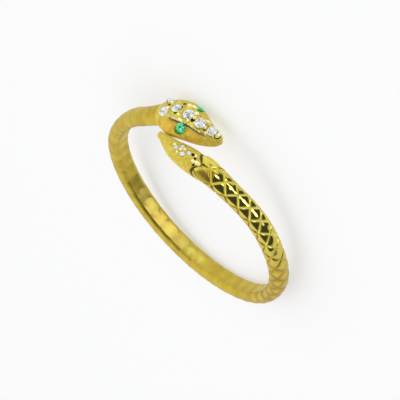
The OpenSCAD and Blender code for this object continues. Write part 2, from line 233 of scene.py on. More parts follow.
def cap(middle, radius, soft):
    """1 inside a round part of the tent and 0 outside it, in degrees."""
    near = combined(tent, "DOT_PRODUCT", sky, middle, kind="VectorMath")
    return near_to(near, math.cos(math.radians(radius)), math.cos(math.radians(radius + soft)))


def strip(a, b, half_width, soft, half_length):
    """1 on a strip of the tent that runs through two directions."""
    beside = combined(tent, "DOT_PRODUCT", sky, a.cross(b).normalized(), kind="VectorMath")
    off = combined(tent, "ABSOLUTE", beside)
    on_strip = near_to(off, math.sin(math.radians(half_width)), math.sin(math.radians(half_width + soft)))
    return combined(tent, "MULTIPLY", on_strip, cap((a + b).normalized(), half_length, 6))


print("the tent starts with", len(tent.nodes), "node")

# %% The tent
PALE_SIDES, PALE_TOP = (0.80, 0.81, 0.83), (0.95, 0.95, 0.95)
DARK, STREAK_WHITE = (0.057, 0.073, 0.10), (3.0, 3.1, 5.0)

dark = combined(tent, "MAXIMUM", cap(*DARK_WALL), cap(*DARK_CORNER))
pale = colour_mix(tent, cap(*TOP), PALE_SIDES, PALE_TOP)
around = colour_mix(tent, strip(*STREAK), colour_mix(tent, dark, pale, DARK), STREAK_WHITE)
background = node(tent, "Background")
feed(background, {"Color": around})
feed(node(tent, "OutputWorld"), {"Surface": background.outputs["Background"]})
bpy.context.scene.view_settings.view_transform = "Standard"
print("tent of", len(tent.nodes), "nodes")

# %% [markdown]
# Satin gold and the table need light from one side, or they look flat. One large softbox hangs half
# way between straight up and the camera. It is hidden from reflections, so that the scales mirror
# the tent alone.

# %% Softbox
SOFTBOX_WATTS = 4.0
SOFTBOX_SIZE = 1.5
SOFTBOX_AWAY = 0.5

softbox = bpy.data.objects.new("softbox", bpy.data.lights.new("softbox", "AREA"))
bpy.context.scene.collection.objects.link(softbox)
half_way = (Vector((0, 0, 1)) + back_w).normalized()
aimed = half_way.to_track_quat("Z", "Y").to_matrix().to_4x4()
softbox.matrix_world = Matrix.Translation(SOFTBOX_AWAY * half_way) @ aimed
softbox.data.size = SOFTBOX_SIZE
softbox.data.energy = SOFTBOX_WATTS
softbox.visible_glossy = False
print(f"softbox {math.degrees(math.asin(half_way.z)):.0f} degrees above the table")


# %% [markdown]
# ## Helpers for pieces
# Each piece is modelled in a bmesh, moved into the frame, and handed over as an object that rides
# on the ring's one body. The object stays at the origin and its place is in its mesh, because a
# pattern that reads object coordinates would slide if the object itself were moved.


# %% Make an object of a bmesh
def as_piece(bm, name, sharp_over=None):
    if sharp_over is not None:
        for edge in bm.edges:
            edge.smooth = len(edge.link_faces) != 2 or edge.calc_face_angle() < math.radians(sharp_over)
    for face in bm.faces:
        face.smooth = True
    mesh = bpy.data.meshes.new(name)
    bm.to_mesh(mesh)
    bm.free()
    piece = bpy.data.objects.new(name, mesh)
    bpy.context.scene.collection.objects.link(piece)
    return piece


def coords(bm):
    return np.array([v.co for v in bm.verts])


def put(bm, points):
    for vertex, point in zip(bm.verts, points):
        vertex.co = point


def paint(bm, name, values):
    """Give every vertex a number that a material reads by its name."""
    layer = bm.verts.layers.float.new(name)
    for vertex, value in zip(bm.verts, values):
        vertex[layer] = value


# %% [markdown]
# ## The scales
# On the real ring the scales are cut into the round body with a graver: V-shaped lines cross each
# other, and the polished faces between them stay flush with the body. Cutting them on a bent body
# would be hard, so they are cut on a flat panel first. A grid gets its diagonals, a bevel opens
# each diagonal into a groove, and the panel is wrapped round the body afterwards.

# %% The body's section, by length round it
ROUND = np.linspace(0, 180, 721)


def band_section(angle, w, t, lift):
    """Across and height on the band's outline, at an angle from the crown, lifted off it."""
    deep = t + INNER_FLAT
    turned = np.radians(angle)
    aside, out = (np.sign(x) * np.abs(x) ** (2 / BAND_SQUARE) for x in (np.sin(turned), np.cos(turned)))
    return (w / 2 + lift) * aside, (deep / 2 + lift) * out + deep / 2 - INNER_FLAT


outline = np.stack(band_section(ROUND, BAND_W, BAND_T, 0), -1)
GIRTH = np.concatenate([[0], np.cumsum(np.linalg.norm(np.diff(outline, axis=0), axis=1))])
ROWS = [0, *np.interp([51, 97, 148], ROUND, GIRTH), GIRTH[-1]]
HALF = PITCH / DEG_PER_MM / 2
NECK_SCALES = 2
COLUMNS = 2 * (SCALE_COUNT + NECK_SCALES)
print("rows of scales at", [round(float(y), 3) for y in ROWS], "mm from the crown")

# %% Grid, diagonals and ends
LAST_ROW = len(ROWS) - 1
scales = bmesh.new()
bmesh.ops.create_grid(scales, x_segments=COLUMNS, y_segments=2 * LAST_ROW, size=1)
column = {v: round((v.co.x + 1) * COLUMNS / 2) for v in scales.verts}
row = {v: round(v.co.y * LAST_ROW) for v in scales.verts}
corners = [v for v in scales.verts if abs(row[v]) <= 2 and (column[v] + row[v]) % 2]
ends = [v for v in scales.verts if column[v] == 0 and v not in corners]
for v in scales.verts:
    v.co = (column[v] * HALF, math.copysign(ROWS[abs(row[v])], row[v]), 0)
bmesh.ops.connect_verts(scales, verts=corners)
bmesh.ops.delete(scales, geom=ends, context="VERTS")
print("panel of", len(scales.faces), "faces")


# %% Open the lines into grooves
LINE = 0.096


def panel_place(points):
    """Columns, rows, and the distance in mm from the nearest line."""
    along = points[:, 0] / HALF
    rows = np.interp(np.abs(points[:, 1]), ROWS, range(len(ROWS)))
    tall = np.interp(rows, [0, 1, 1.001, 2], [ROWS[1], ROWS[1], ROWS[2] - ROWS[1], ROWS[2] - ROWS[1]])
    slope = np.hypot(1 / HALF, 1 / tall)
    cross = np.minimum(np.abs((along + rows) % 2 - 1), np.abs((along - rows) % 2 - 1)) / slope
    straight = np.abs(along % 2 - 1) * HALF
    return along, rows, np.where(rows <= 2, cross, np.where(rows < 3.001, straight, 1))


lines = []
for edge in scales.edges:
    a, b = (np.array(v.co) for v in edge.verts)
    far = panel_place(np.array([a, b, (a + b) / 2]))[2]
    if far.max() < 1e-4:
        lines.append(edge)
bmesh.ops.bevel(scales, geom=lines, offset=LINE, segments=2, profile=0.5, affect="EDGES", material=-1)
bmesh.ops.subdivide_edges(scales, edges=scales.edges[:], cuts=3, use_grid_fill=True)
print(len(lines), "lines cut,", len(scales.faces), "faces")

# %% [markdown]
# ## Shape of head, neck and tail
# The snake isn't the same all along. It could be sculpted by eye, but numbers can be read and set
# right one by one. Tables give its width and height at stations on the head and the tail, and a
# half section gives the head its flat crest, its brow and its cheek. Smooth curves run between the
# values, so a few of them are enough.

# %% Stations of head and tail: share of the length, of the width, of the height
HEAD = np.array([
    [-0.04, 0.5235, 0.7486, 0], [0, 0.5235, 0.7486, 0], [0.10, 0.53, 0.755, 0], [0.18, 0.555, 0.765, 0],
    [0.25, 0.63, 0.80, 0.3], [0.31, 0.80, 0.885, 0.8], [0.37, 0.93, 0.95, 1], [0.46, 0.99, 0.99, 1],
    [0.55, 1, 1, 1], [0.63, 0.94, 1, 1], [0.71, 0.83, 0.98, 1], [0.79, 0.69, 0.94, 1],
    [0.87, 0.53, 0.86, 1], [0.93, 0.40, 0.76, 0.9], [0.975, 0.28, 0.63, 0.75], [1, 0.16, 0.50, 0.6],
    [1.015, 0.04, 0.40, 0.6],
])
TAIL = np.array([
    [-0.25, 0.93, 0.85], [-0.14, 0.975, 0.87], [-0.05, 1.04, 0.88], [0.04, 1.125, 0.90], [0.13, 1.146, 0.905],
    [0.25, 1.14, 0.91], [0.37, 1.07, 0.89], [0.50, 0.93, 0.85], [0.62, 0.76, 0.79], [0.74, 0.59, 0.71],
    [0.85, 0.44, 0.61], [0.94, 0.30, 0.48], [1.00, 0.17, 0.32], [1.01, 0.04, 0.2],
])
JAW = np.array([
    [0.22, 0], [0.32, 0.10], [0.42, 0.165], [0.55, 0.18], [0.70, 0.10], [0.85, 0.08], [0.95, 0.14], [1.015, 0.10],
])
CHIN = np.array([[0.92, 0], [0.97, 0.07], [1, 0.14], [1.015, 0.20]])
print("head of", len(HEAD), "stations, tail of", len(TAIL))

# %% The head's half section: angle, then across and height, plain and under the brow
BREAK = 4
FINGER_AT = 12
ANGLES = np.array([0, 14, 26, 38, 47, 51, 60, 74, 86, 97, 118, 140, 149, 180])
PLAIN = np.array([
    [0, 1], [0.17, 0.993], [0.32, 0.975], [0.46, 0.932], [0.56, 0.88], [0.60, 0.855], [0.71, 0.78],
    [0.88, 0.63], [0.965, 0.52], [1, 0.42], [0.98, 0.20], [0.88, 0.03], [0.80, -0.03], [0, -0.06],
])
BROWED = np.array([
    [0, 1], [0.17, 0.998], [0.33, 0.985], [0.47, 0.955], [0.575, 0.905], [0.50, 0.80], [0.64, 0.75],
    [0.86, 0.655], [0.96, 0.535], [1, 0.42], [0.98, 0.20], [0.88, 0.03], [0.80, -0.03], [0, -0.06],
])
EDGE = np.array([[0.40, 0.58], [0.55, 0.55], [0.63, 0.51], [0.70, 0.46], [0.77, 0.54], [0.84, 0.64], [0.92, 0.70]])
print(len(ANGLES), "points from the crown to the finger, the brow's edge", ANGLES[BREAK], "degrees from the crown")


# %% Smooth curves through the tables
def through(x, xs, ys):
    """A smooth curve through the points, at x."""
    slopes = np.gradient(ys, xs, axis=0)
    k = np.clip(np.searchsorted(xs, x) - 1, 0, len(xs) - 2)
    gap = xs[k + 1] - xs[k]
    t = (x - xs[k]) / gap
    if ys.ndim > 1:
        t, gap = t[:, None], gap[:, None]
    a, b = ys[k], ys[k + 1]
    rise = t * t * (3 - 2 * t)
    return a + (b - a) * rise + gap * (slopes[k] * t * (1 - t) ** 2 - slopes[k + 1] * t * t * (1 - t))


def head_turn(share):
    return SCALES_TO + share * (SNOUT_TURN - SCALES_TO)


def tail_turn(share):
    return SCALES_FROM - share * (TAIL_TURN + SCALES_FROM)


print(f"the head starts at {head_turn(0):.1f} degrees, the tail at {tail_turn(0):.1f}")


# %% Sections of head and tail
def half_section(k, share, side):
    """Across and height of the head at places k round its half section, as shares."""
    brow = ease(share, 0.40, 0.52) * (1 - ease(share, 0.84, 0.93))
    points = PLAIN * (1 - brow) + BROWED * brow
    if side > 0:
        stretch = 1 + brow * (np.interp(share, *EDGE.T) / BROWED[BREAK, 0] - 1)
        points = points.copy()
        points[: BREAK + 2, 0] *= stretch
        points[BREAK + 2, 0] *= (1 + stretch) / 2
    parts = [(0, BREAK), (BREAK, BREAK + 1), (BREAK + 1, FINGER_AT), (FINGER_AT, len(points) - 1)]
    found = np.zeros((len(k), 2))
    for a, b in parts:
        here = (k >= a) & (k <= b)
        if here.any():
            found[here] = through(k[here], np.arange(a, b + 1.0), points[a:b + 1])
    return found


def head_section(share, k):
    """Across and height in mm at places k round the head, where the share of its length is given."""
    table = through(share, HEAD[:, 0], HEAD[:, 1:])
    w, t, own = table.T
    angle = np.interp(np.abs(k), range(len(ANGLES)), ANGLES)
    plain = np.stack(band_section(angle, w * HEAD_W, t * HEAD_H, 0), -1)
    formed = np.zeros((len(k), 2))
    for one in np.unique(share):
        for side in (-1, 1):
            here = (share == one) & ((k < 0) == (side < 0))
            if here.any():
                formed[here] = half_section(np.abs(k[here]), one, side)
    formed *= np.stack([w * HEAD_W / 2, t * HEAD_H], -1)
    across, height = (plain * (1 - own[:, None]) + formed * own[:, None]).T
    jaw = np.interp(share, *JAW.T) * np.exp(-((angle - 100) / 32) ** 2) * (k > 0)
    chin = np.interp(share, *CHIN.T) * HEAD_H * (1 - np.clip(height / (t * HEAD_H), 0, 1))
    far_side = 0.025 * (k < 0) * np.sin(np.radians(angle))
    return np.where(k < 0, -1, 1) * (across + jaw - far_side), np.maximum(height, HAIR) + chin


def head_place(share, k, lift=0):
    across, height = head_section(share, k)
    angle = np.radians(np.interp(np.abs(k), range(len(ANGLES)), ANGLES))
    across = across + lift * np.sin(angle) * np.sign(k)
    return on_ring(head_turn(share), across, np.maximum(height + lift * np.cos(angle), HAIR))


print("the brow's edge lies at shares", [round(float(x), 2) for x in half_section(np.array([4.0]), 0.6, 1)[0]])

# %% [markdown]
# The last row of scales ends in rounded teeth, like a collar that the tail slips out of. The teeth
# reach further on one side than on the other, and a dark groove follows them on the tail. One
# formula gives the teeth's arcs, for the tail here and for the scales further down, so that teeth
# and groove can't drift apart.

# %% The collar's teeth and the groove round them
COLLAR_REACH = {-1: 0.55, 1: 0.4}
COLLAR_GROOVE = 0.06


def tooth_arc(rows):
    """A quarter circle from a tooth's tip, where it is 0, to the notch beside it."""
    return 1 - np.sqrt(np.clip(1 - (rows - 1) ** 2, 0, 1))


def teeth(rows, k):
    """Where the collar's rounded teeth end, in mm along the flat panel."""
    arc = tooth_arc(rows)
    return arc * HALF - np.where(k < 0, COLLAR_REACH[-1], COLLAR_REACH[1]) * (1 - arc)


def at_collar(share, k):
    """1 in the dark groove that runs round the collar's teeth on the tail."""
    girth = np.interp(np.interp(np.abs(k), range(len(ANGLES)), ANGLES), ROUND, GIRTH)
    rows = np.interp(girth, ROWS, range(len(ROWS)))
    beyond = teeth(rows, k) + share * TAIL_LEN
    return ease(beyond, -0.05, 0.02) * (1 - ease(beyond, 0.15, 0.28)) * (1 - ease(rows, 1.8, 2.1))


def tail_place(share, k):
    w, t = through(share, TAIL[:, 0], TAIL[:, 1:]).T
    angle = np.interp(np.abs(k), range(len(ANGLES)), ANGLES)
    across, height = band_section(angle, w * BAND_W, t * BAND_T, -COLLAR_GROOVE * at_collar(share, k))
    return on_ring(tail_turn(share), np.where(k < 0, -1, 1) * across, np.maximum(height, HAIR))


print("the collar's teeth reach", [round(float(teeth(1, k)), 2) for k in (-1, 1)], "mm past the last scales")


# %% [markdown]
# ## Relief of the scales
# The grooves are deep and crisp near the tail and worn shallow on the far side of the ring, where
# the faces between them swell a little less too. Next to the tail the scales lift off the body as a
# collar. A bump in the material could fake this, but the outline would stay smooth. On the flat
# panel it is only a height, one number for each vertex.

# %% From the flat panel to the body
def wrap(points, ribs=0):
    """From the flat panel, in mm, to the snake's body."""
    x, y, lift = points.T
    turn = SCALES_FROM + x * DEG_PER_MM
    angle = np.interp(np.abs(y), GIRTH, ROUND)
    across, height = band_section(angle, BAND_W, BAND_T, lift)
    band = on_ring(turn, np.sign(y) * across, np.maximum(height, 0) + ribs)
    share = (turn - SCALES_TO) / (SNOUT_TURN - SCALES_TO)
    neck = share > 0
    k = np.sign(y[neck]) * np.interp(angle[neck], ANGLES, range(len(ANGLES)))
    band[neck] = head_place(np.round(share[neck], 4), k, lift[neck])
    return lie(band)


print("the panel's start lands at", [round(1000 * float(x), 2) for x in wrap(np.zeros((1, 3)))[0]], "mm")

# %% Grooves, swelling and the collar's flare
COLLAR_COLUMNS = 6.1
COLLAR_LIFT = 0.28
COLLAR_SCALES = 2.6
SHOULDER = 0.2
GROOVE = 0.06
PILLOW = 0.018
TUCK = 0.10  # the neck's end goes this deep under the head

near_collar = [e for e in scales.edges if max(v.co.x for v in e.verts) < COLLAR_COLUMNS * HALF]
bmesh.ops.subdivide_edges(scales, edges=near_collar, cuts=1, use_grid_fill=True)

flat = coords(scales)
along, rows, far = panel_place(flat)
turns = SCALES_FROM + flat[:, 0] * DEG_PER_MM
on_head_share = (turns - SCALES_TO) / (SNOUT_TURN - SCALES_TO)
upper = flat[:, 1] < 0
worn = ease(turns, -75, -30)

flare = COLLAR_LIFT * (1 - ease(along / 2, 0, COLLAR_SCALES)) * np.where(upper, 1, 0.7 * (1 - ease(rows, 1.2, 2)))
shoulder = np.clip(1 - far / SHOULDER, 0, 1) ** 2
flat[:, 2] = flare * (1 - 0.6 * shoulder) - TUCK * ease(on_head_share, 0.20, 0.31)
swelling = PILLOW + 0.012 * ease(turns, -150, -125) - 0.015 * worn
groove = GROOVE * (1 - 0.7 * ease(turns, -142, -120) - 0.15 * worn) * np.clip(1 - far / LINE, 0, 1)
fade = 1 - 0.8 * ease(on_head_share, 0.12, 0.30)
flat[:, 2] += fade * (swelling * (ease(far, LINE, 0.4) - 1) - groove)
print(f"relief from {flat[:, 2].min():.3f} to {flat[:, 2].max():.3f} mm")

# %% Round the collar's teeth: straight edges become arcs
tooth = np.abs(rows - 1)
arc = tooth_arc(rows)
bent = arc + (along - tooth) / np.maximum(1 - tooth, 1e-3) * (1 - arc)
in_tooth = (along < 1) & (rows < 2)
flat[in_tooth, 0] = np.clip(bent, 0, 1)[in_tooth] * HALF
flat[:, 0] -= np.where(upper, COLLAR_REACH[-1], COLLAR_REACH[1]) * np.clip(1 - along, 0, 1)
put(scales, flat)
print(in_tooth.sum(), "vertices in the teeth")

# %% [markdown]
# ## Colour of the scales
# A cut line catches light at every angle, so it reads as a paler or browner line on the polished
# face. Both are painted: the paler gold is a painted highlight, and the browner gold in the grooves
# is painted shade. Where the ring is worn, the lines blur into soft bands and the faces turn satin.
# The mesh keeps this as numbers on its vertices, from 0 to 1, because a pattern that follows the
# scales can't be had from a texture in space: "line" for cut metal and its painted highlight, "brown"
# for its browner gold, "satin" for a rough skin and "shadow" for the painted shadow round the collar.

# %% Cut lines, crisp near the tail and soft elsewhere
soft_line = (0.62 - 0.25 * upper) * np.clip(1.1 - far / (3 * LINE), 0, 1)
sharpness = ease(-turns, 122, 142)
line = np.clip(1.25 - far / LINE, 0, 1) * sharpness + soft_line * (1 - sharpness) * (1 - 0.5 * worn)
rib = 0.5 - 0.5 * np.cos(math.pi * along)
line = np.maximum(line, 0.55 * rib ** 2 * ease(turns, -95, -60))
by_rib = np.random.default_rng(8).uniform(0.8, 1.3, COLUMNS)[(along / 2).astype(int)]
neck_side = 0.65 + 0.35 * ease(rows * np.where(upper, -1, 1), -0.4, 1.6)
neck_line = rib ** 3 * ease(turns, 72, 92) * by_rib * neck_side
line = np.maximum(line, neck_line * (1 - ease(on_head_share, 0.16, 0.26)))
print(f"cut metal on {(line > 0.5).mean():.0%} of the vertices")

# %% A painted highlight on the finger side, and the collar's two leaves
# A patch on the finger side is painted paler gold and loses its browner lines: a painted highlight.
painted_highlight_patch = ease(-turns, 4, 12) * (1 - ease(-turns, 22, 32)) * ease(rows, 2.9, 3.2)
line = np.maximum(line, 0.9 * painted_highlight_patch * (1 - 0.6 * rib ** 2))
leaf = (along < 1.7) & (rows < 1.9) & (far > 0.06)
leaf_edge = np.where(upper, 2, 1 + 0.72 * along)
# The dark line along the lower leaf's edge is painted shadow.
leaf_painted_shadow = np.clip(1.5 - np.abs(rows - leaf_edge) / 0.14, 0, 1) * (along < 1.35) * ~upper
leaf_gloss = np.where(upper, 0.62 + 0.38 * np.cos(15 * (rows - 1)), 0.85 * (rows < leaf_edge))
line = np.where(leaf, leaf_gloss, line)

brown = np.maximum(ease(turns, -142, -124), ease(rows, 0.9, 1.5)) * (1 - 0.35 * ease(turns, -100, -60))
brown = np.where(leaf, 0.75 * ~upper, brown * (1 - painted_highlight_patch))
satin_part = np.maximum(ease(turns, -140, -112), ease(rows, 2.5, 2.9)) * (1 - 0.1 * ease(rows, 2.9, 3.2))
satin_leaf = ease(far, 0.1, 0.2) * (along < np.where(upper, 1.99, 1.35)) * (rows > 0.05)
for name, values in {
    "line": line, "brown": brown, "satin": np.maximum(satin_part, satin_leaf), "shadow": leaf_painted_shadow,
}.items():
    paint(scales, name, values)
    print(f"{name}: {values.mean():.2f} on average")

# %% [markdown]
# The panel is open at the collar. An extruded rim gives it an edge that goes down into the tail. On
# the finger side low ribs cross the band, where the casting is only roughly smoothed. Then the
# panel goes round the finger, and its two long sides meet in a seam that is merged.

# %% Rim, ribs and wrapping
RIM_DEPTH = 0.3
RIB_HEIGHT = 0.045

ribs = RIB_HEIGHT * rib * ease(rows, 2.9, 3.3)
rim = [e for e in scales.edges if e.is_boundary and abs(e.verts[0].co.y) < ROWS[-1] - 0.001]
wall = bmesh.ops.extrude_edge_only(scales, edges=rim)["geom"]
shadow = scales.verts.layers.float["shadow"]
# The rim's wall is painted with the shadow colour: painted shade where the scales step down into the tail.
for v in wall:
    if isinstance(v, bmesh.types.BMVert):
        v.co.z -= RIM_DEPTH
        v[shadow] = 1
ribs = np.concatenate([ribs, np.zeros(len(scales.verts) - len(ribs))])
put(scales, wrap(coords(scales), ribs))
bmesh.ops.remove_doubles(scales, verts=scales.verts[:], dist=1e-7)
bmesh.ops.recalc_face_normals(scales, faces=scales.faces[:])
body = as_piece(scales, "scales", sharp_over=24)
print("scales:", len(body.data.polygons), "faces")

# %% [markdown]
# ## Head and tail
# Both are sleeves that narrow to a tip. They could be skinned over a row of loops, but a flat grid
# does the same and keeps its rows in order: one way it runs along the snake, the other way round
# it, and every vertex is sent to its place on the tables' curves.


# %% A sleeve from a grid
def sleeve(place_at, first, last, stations, per_step):
    round_steps = per_step * (len(ANGLES) - 1)
    bm = bmesh.new()
    bmesh.ops.create_grid(bm, x_segments=stations, y_segments=2 * round_steps, size=1)
    share_of, k_of = bm.verts.layers.float.new("share"), bm.verts.layers.float.new("k")
    columns = {}
    for v in bm.verts:
        columns.setdefault(round((v.co.x + 1) / 2 * stations), []).append(v)
    for c, verts in columns.items():
        share = first + (last - first) * c / stations
        k = np.array([v.co.y for v in verts]) * (len(ANGLES) - 1)
        for v, point, turn in zip(verts, lie(place_at(np.full(len(k), share), k)), k):
            v.co, v[share_of], v[k_of] = point, share, turn
    bmesh.ops.remove_doubles(bm, verts=bm.verts[:], dist=1e-7)
    bmesh.ops.holes_fill(bm, edges=[e for e in bm.edges if e.is_boundary], sides=0)
    bmesh.ops.recalc_face_normals(bm, faces=bm.faces[:])
    return bm


def tucked(share, k):
    """The head's surface, with its start tucked under the neck's scales."""
    return head_place(share, k, -0.075 * (1 - ease(share, 0.22, 0.29)))


head = sleeve(tucked, 0.12, HEAD[-1, 0], 96, 3)
tail = sleeve(tail_place, TAIL[0, 0], TAIL[-1, 0], 150, 3)
tail_tree = BVHTree.FromBMesh(tail)
nearest = min(tail_tree.find_nearest(v.co)[3] for v in head.verts)
print("head and tail:", len(head.faces), len(tail.faces), "faces,", round(1000 * nearest, 3), "mm apart")

# %% [markdown]
# The crest is a bright plate with a thin rim, painted paler as a highlight, the brow throws a dark
# line of painted shadow, and the cheek is painted ruddy, most where it faces the tail, as a painted
# reflection, since gold that mirrors gold turns ruddy. It is ruddier still in the corner where cheek
# and tail meet, which is painted shade. On the tail only the groove round the collar is painted dark
# as shade, with a ruddy ring behind it. These too are numbers on the vertices. The plate could be a
# piece of its own, but the real one is cut from the same casting, so its faces only get a second
# finish.


# %% Where head and tail are ruddy, dark or bright
def placed(bm):
    """Every vertex of a sleeve with its share of the length and its place round the section."""
    share_of, k_of = bm.verts.layers.float["share"], bm.verts.layers.float["k"]
    return np.array([(v[share_of], v[k_of]) for v in bm.verts]).T


BEHIND = 0.085  # the ruddy ring lies this share of the tail behind the groove
share, k = placed(tail)
behind_groove = at_collar(share - BEHIND, k) * (k > 0)
paint(tail, "shadow", at_collar(share, k))
paint(tail, "ruddy", 0.15 + 0.6 * behind_groove)

share, k = placed(head)
aside = np.abs(k)
cheek = ease(aside, 4, 6) * (1 - ease(aside, 9.5, 12))
cheek *= ease(share, 0.24, 0.36) * (1 - 0.55 * ease(share, 0.5, 0.95))
corner = ease(k, 6, 8) * (1 - ease(share, 0.46, 0.62))
under_brow = (k > 4.2) * (1 - ease(k, 5, 6)) * ease(share, 0.42, 0.54) * (1 - ease(share, 0.80, 0.93))
# The plate's rim is painted paler gold, a painted highlight where its edge catches the light.
plate_rim_highlight = ease(k, 2.9, 3.5) * (1 - ease(k, 4.05, 4.2)) * ease(share, 0.4, 0.5) * (1 - ease(share, 0.85, 0.93))
# The cheek's ruddy is a painted reflection of the tail's gold; the corner where they meet is ruddier as painted
# shade.
paint(head, "ruddy", cheek * np.where(k > 0, 0.8 + 0.8 * corner, 0.3))
paint(head, "shadow", under_brow)
paint(head, "edge", plate_rim_highlight)

share_of, k_of = head.verts.layers.float["share"], head.verts.layers.float["k"]
for face in head.faces:
    k = sum(abs(v[k_of]) for v in face.verts) / len(face.verts)
    share = sum(v[share_of] for v in face.verts) / len(face.verts)
    face.material_index = 1 if k < BREAK and 0.30 < share < 0.96 else 0
print("bright plate of", sum(face.material_index for face in head.faces), "faces")

# %% [markdown]
# ## Seats for the stones
# A setter drills a cone for each stone, so that it sits with its girdle just in the metal, and then
# cuts a bright slope round it. A dark disc under each stone would look much the same from afar, but
# not close by. So a cutter is spun from the setter's profile, set down at every stone's place, and
# taken out of the head and tail with one Boolean modifier each.

# %% Where the stones stand
# Share of the length, across and height as shares, size as a share of the width below, and lean.
CREST = [
    [0.358, 0.34, 0.88, 0.85, 22], [0.347, -0.44, 0.86, 0.85, -28], [0.475, 0, 0.965, 0.86, 0],
    [0.625, -0.04, 0.985, 1, 0], [0.775, -0.03, 0.95, 0.96, 0], [0.898, 0, 0.83, 0.86, 0],
]
# The same without the size, as these stones are all alike.
EYES = [[0.645, 0.69, 0.71, 48], [0.615, -0.76, 0.66, -56]]
TAIL_STONES = [[0.48, 0.06, 0.82, 4], [0.42, -0.42, 0.78, -26], [0.34, 0.24, 0.86, 12], [0.28, -0.22, 0.87, -10]]
CREST_D = 1.04
EYE_D = 0.96
TAIL_STONE_D = 0.44


def stand(turn, across, height, side_lean=0.0):
    """The matrix that sets a thing, made in millimetres, on the snake with its +Z pointing out."""
    slant = math.atan(float(sway(turn + 0.5) - sway(turn - 0.5)) * DEG_PER_MM)
    seen = turn - across * math.sin(slant) * DEG_PER_MM
    out = Matrix.Translation((BORE_R + height, 0, float(sway(turn)) + across * math.cos(slant)))
    round_finger = Matrix.Rotation(math.radians(90 - seen), 4, "Z")
    there = round_finger @ out @ Matrix.Rotation(math.radians(90 - side_lean), 4, "Y")
    return Matrix.Scale(0.001, 4) @ Matrix.Translation((0, 0, LIFT)) @ LIE.to_4x4() @ there


def on_head(share, across, height, side_lean=0.0):
    return stand(head_turn(share), across * HEAD_W / 2, height * HEAD_H, side_lean)


def on_tail(share, across, height, side_lean=0.0):
    return stand(tail_turn(share), across * BAND_W / 2, height * BAND_T, side_lean)


print(len(CREST), "crest stones,", len(EYES), "eyes and", len(TAIL_STONES), "tail stones")

# %% A cutter spun from a seat's profile
SEAT_GAP = 0.02
SEAT_DEPTH = 0.46  # of the stone's width


def add_turned(bm, profile, place, steps=40, material=1):
    """Spin a profile of radius and height once round, and set it in its place."""
    verts = [bm.verts.new((r, 0, z)) for r, z in profile]
    edges = [bm.edges.new(pair) for pair in zip(verts, verts[1:])]
    bmesh.ops.spin(
        bm, geom=verts + edges, axis=(0, 0, 1), cent=(0, 0, 0), angle=math.tau, steps=steps, use_merge=True)
    new = {v for f in bm.faces for v in f.verts if not f.tag}
    for f in bm.faces:
        f.material_index = f.material_index if f.tag else material
        f.tag = True
    bmesh.ops.transform(bm, matrix=place, verts=list(new))


def seat_profile(d, top, slope):
    """A cone for a stone of width d, its straight edge, and the bright slope above it."""
    r = d / 2 + SEAT_GAP
    deep = SEAT_DEPTH * d + 2 * SEAT_GAP
    bright_slope = [(r, 0.02), (r + slope, 0.02 + 1.2 * slope)]
    return [(0, -deep), (r, -0.05 * d), *bright_slope, (r + slope + 0.1 * top, top), (0, top)]


def pit_profile(r):
    """A drill's point: a cone one and a half times as deep as its radius."""
    return [(0, -1.5 * r), (r, 0), (r + 0.03, 0.3), (0, 0.3)]


print("a crest stone's seat:", [(round(r, 2), round(z, 2)) for r, z in seat_profile(CREST_D, 0.5, 0.05)])


# %% Take the cutters out of a piece
def cut(bm, cutters, name, materials):
    """The bmesh as a piece, with the cutters taken out of it."""
    bmesh.ops.remove_doubles(cutters, verts=cutters.verts[:], dist=1e-7)
    bmesh.ops.recalc_face_normals(cutters, faces=cutters.faces[:])
    whole, tool = as_piece(bm, name + "_whole"), as_piece(cutters, name + "_cutters")
    for thing in (whole, tool):
        for material in materials:
            thing.data.materials.append(material)
    boolean = whole.modifiers.new("cut", "BOOLEAN")
    boolean.operation, boolean.solver, boolean.object = "DIFFERENCE", "EXACT", tool
    boolean.use_self = True  # some seats overlap
    done = bpy.data.meshes.new_from_object(whole.evaluated_get(bpy.context.evaluated_depsgraph_get()))
    made = bmesh.new()
    made.from_mesh(done)
    for thing in (whole, tool):
        bpy.data.objects.remove(thing)
    bpy.data.meshes.remove(done)
    piece = as_piece(made, name, sharp_over=32)
    for material in materials:
        piece.data.materials.append(material)
    print(name, "after cutting:", len(piece.data.polygons), "faces")
    return piece


# %% [markdown]
# ## Finishes
# Gold gets its colour from what it reflects, tinted by the metal. The scales near the tail are
# polished, and the head's jaw, the neck and the tail are satin. Satin gold is blasted until it
# scatters light almost as a matt thing does, so it is made less metallic here, with a fine bump.
# The cut lines are rougher and painted paler, as a highlight, and browner where light that enters them meets gold
# twice, which is painted shade.
# Every finish changes a little from place to place by a noise on the object's own coordinates.


# %% Helpers for materials
def new_material(name):
    material = bpy.data.materials.new(name)
    material.use_nodes = True
    return material, material.node_tree, material.node_tree.nodes["Principled BSDF"]


def clouds(tree, size, low, high, detail=2):
    """A noise with lumps of a size in mm, spread from 0 at low to 1 at high."""
    noise = node(tree, "TexNoise")
    place = node(tree, "TexCoord").outputs["Object"]
    feed(noise, {"Vector": place, "Scale": 1000 / size, "Detail": detail})
    return ranged(tree, noise.outputs["Fac"], low, high)


def grain(tree, shader, size, strength, distance):
    """Fine unevenness of the skin, size and distance in mm."""
    unevenness = clouds(tree, size, 0.35, 0.65, detail=3)
    bump = node(tree, "Bump")
    feed(bump, {"Strength": strength, "Distance": distance / 1000, "Height": unevenness})
    feed(shader, {"Normal": bump.outputs["Normal"]})
    return unevenness


def attribute(tree, name):
    return node(tree, "Attribute", attribute_name=name).outputs["Fac"]


def blotches(tree, tone, colour, size, where):
    """Larger soft patches of another colour."""
    share = combined(tree, "MULTIPLY", clouds(tree, size, 0.46, 0.66), where)
    return colour_mix(tree, share, tone, colour)


print("materials before the finishes:", len(bpy.data.materials))

